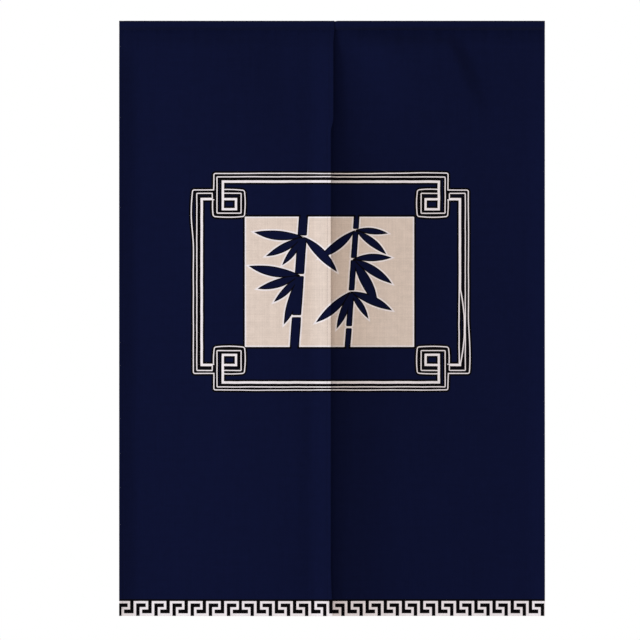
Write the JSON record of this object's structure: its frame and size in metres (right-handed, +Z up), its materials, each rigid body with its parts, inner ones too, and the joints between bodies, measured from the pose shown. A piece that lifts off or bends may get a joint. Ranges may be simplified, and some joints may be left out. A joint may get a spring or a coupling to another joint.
{
  "type": "noren curtain",
  "caption": "Split doorway curtain of printed navy cloth: lapping panels hang from a sewn heading that slides onto a thin rod.",
  "frame": {"origin": "middle of the top edge, above the rod's centre line", "axes": "+X to the right as seen from the printed front, +Y towards the back, +Z up"},
  "size_m": [0.85, 0.0637, 1.188],
  "materials": {
    "printed_cloth": "matte plain-woven cotton and linen blend, printed navy with cream left bare for the pattern"
  },
  "bodies": {
    "root": {"left_panel": "printed_cloth", "left_heading": "printed_cloth", "right_panel": "printed_cloth", "right_heading": "printed_cloth"}
  },
  "joints": []
}
